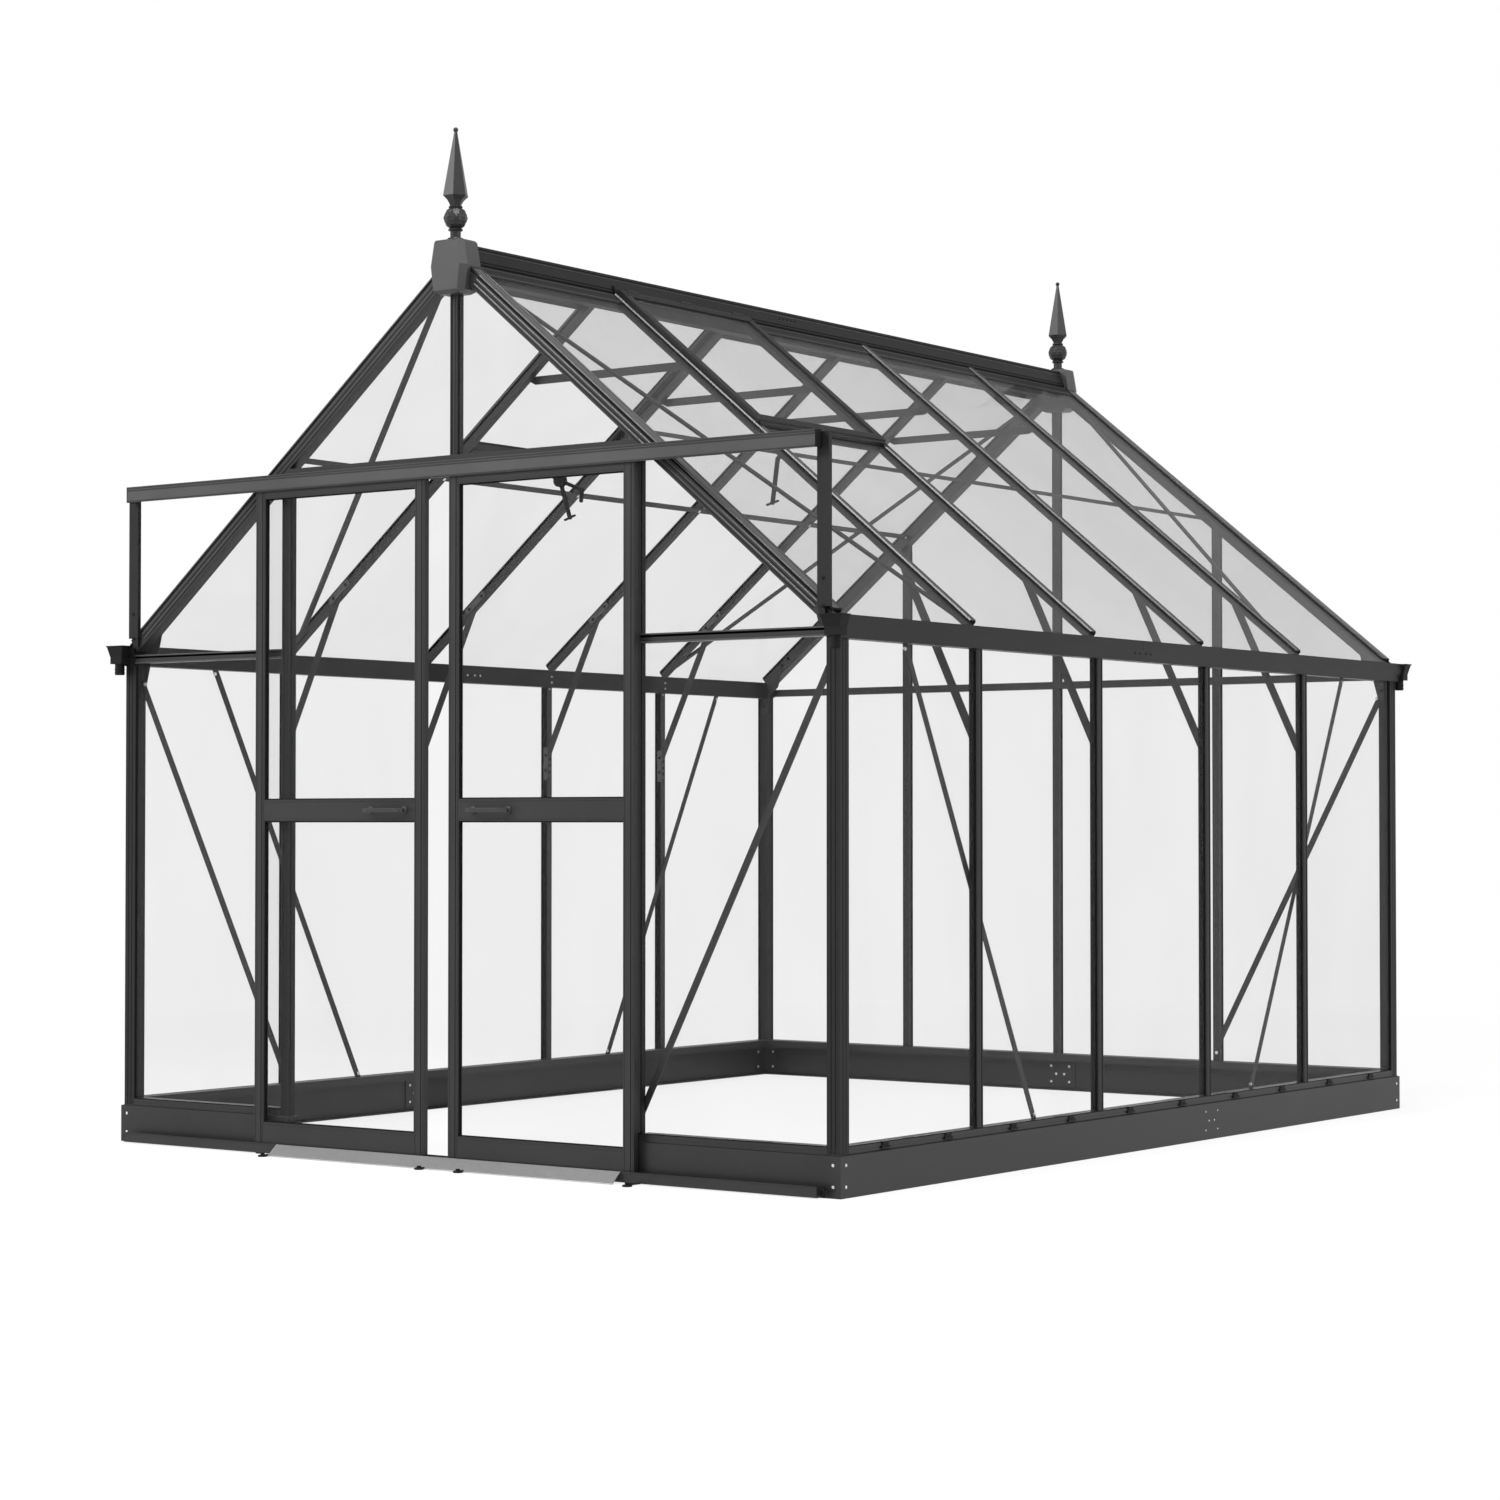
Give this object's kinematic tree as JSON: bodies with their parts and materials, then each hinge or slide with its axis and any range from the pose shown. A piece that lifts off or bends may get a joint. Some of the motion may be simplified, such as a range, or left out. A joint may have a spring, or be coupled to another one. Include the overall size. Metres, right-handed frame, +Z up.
{
  "type": "glass greenhouse",
  "caption": "Walk-in gabled glass greenhouse on a low steel plinth, with gutters, roof vents, cast ridge ends with finials and sliding double doors.",
  "frame": {"origin": "on the ground, under the middle of the whole outline", "axes": "+Z up, +Y from the doors to the rear gable, +X to the right seen from in front of the doors"},
  "size_m": [2.6114, 3.3236, 2.8192],
  "materials": {
    "frame_coating": "satin powder coat, anthracite",
    "black_plastic": "matt moulded",
    "glass": "clear toughened",
    "bare_aluminium": "mill finish"
  },
  "bodies": {
    "greenhouse": {"side_plinths": "frame_coating", "end_plinths": "frame_coating", "plinth_corner_brackets": "frame_coating", "plinth_splice_plates": "frame_coating", "side_sills": "frame_coating", "end_sills": "frame_coating", "corner_posts": "frame_coating", "side_wall_bars": "frame_coating", "rear_wall_bars": "frame_coating", "door_jambs": "frame_coating", "door_header": "frame_coating", "gable_centre_bar": "frame_coating", "eaves_ties": "frame_coating", "left_gutter": "frame_coating", "right_gutter": "frame_coating", "gutter_outlets": "black_plastic", "gable_rafters": "frame_coating", "rafters": "frame_coating", "ridge_beam": "frame_coating", "ridge_end_caps": "frame_coating", "finials": "frame_coating", "collar_ties": "frame_coating", "purlins": "frame_coating", "knee_braces": "frame_coating", "side_wall_braces": "frame_coating", "gable_braces": "frame_coating", "roof_braces": "frame_coating", "corner_gussets": "frame_coating", "side_glass": "glass", "gable_glass": "glass", "roof_glass": "glass", "vent_frames": "frame_coating", "vent_glass": "glass", "vent_sills": "frame_coating", "vent_stays": "black_plastic", "top_track": "frame_coating", "track_posts": "frame_coating", "bottom_track": "frame_coating", "track_feet": "black_plastic", "ramp": "bare_aluminium"},
    "left_door": {"left_door_stiles": "frame_coating", "left_door_rails": "frame_coating", "left_door_glass": "glass", "left_door_handle": "black_plastic", "left_door_hangers": "bare_aluminium", "left_door_rollers": "black_plastic", "left_door_guides": "black_plastic"},
    "right_door": {"right_door_stiles": "frame_coating", "right_door_rails": "frame_coating", "right_door_glass": "glass", "right_door_handle": "black_plastic", "right_door_hangers": "bare_aluminium", "right_door_rollers": "black_plastic", "right_door_guides": "black_plastic"}
  },
  "joints": [
    {"name": "left_door_slide", "type": "slide", "parent": "greenhouse", "child": "left_door", "axis": [-1, 0, 0], "range_m": [-0.07, 0.511]},
    {"name": "right_door_slide", "type": "slide", "parent": "greenhouse", "child": "right_door", "axis": [1, 0, 0], "range_m": [-0.011, 0.57]}
  ]
}
